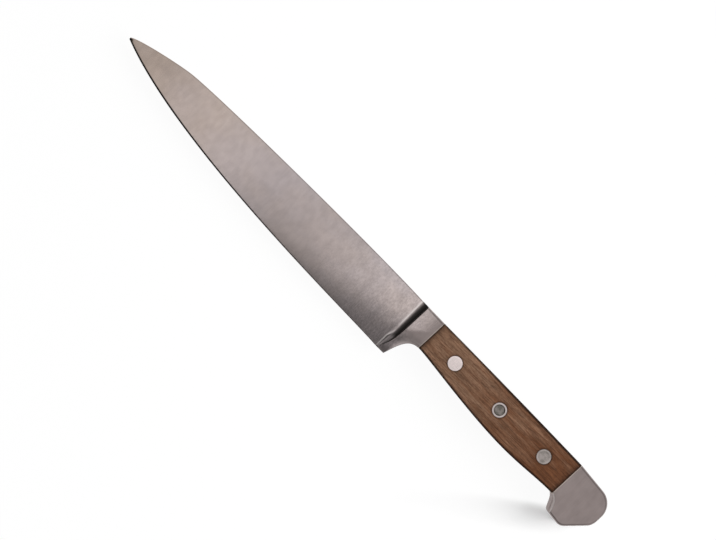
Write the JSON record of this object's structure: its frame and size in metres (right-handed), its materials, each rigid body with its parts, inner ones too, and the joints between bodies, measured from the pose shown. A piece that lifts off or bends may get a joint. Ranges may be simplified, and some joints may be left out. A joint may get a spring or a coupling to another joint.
{
  "type": "fillet knife",
  "caption": "Forged kitchen knife with a slim pointed blade, bolster with finger guard, full tang, riveted walnut scales and a steel butt cap with a beak.",
  "frame": {"origin": "middle of the underside of the knife's box, with the knife lying on its right side", "axes": "+X from the tip to the butt, +Y from the cutting edge to the spine, +Z out of the left side, which lies uppermost"},
  "size_m": [0.3068, 0.0304, 0.017],
  "materials": {
    "blade_steel": "satin, finely ground across the blade",
    "walnut": "oiled, open grain along the handle",
    "rivet_steel": "satin, ground flush with the wood"
  },
  "bodies": {
    "root": {"forged_blank": "blade_steel", "left_scale": "walnut", "right_scale": "walnut", "front_rivet_pin": "rivet_steel", "front_rivet_tube": "rivet_steel", "middle_rivet_pin": "rivet_steel", "middle_rivet_tube": "rivet_steel", "rear_rivet_pin": "rivet_steel", "rear_rivet_tube": "rivet_steel"}
  },
  "joints": []
}
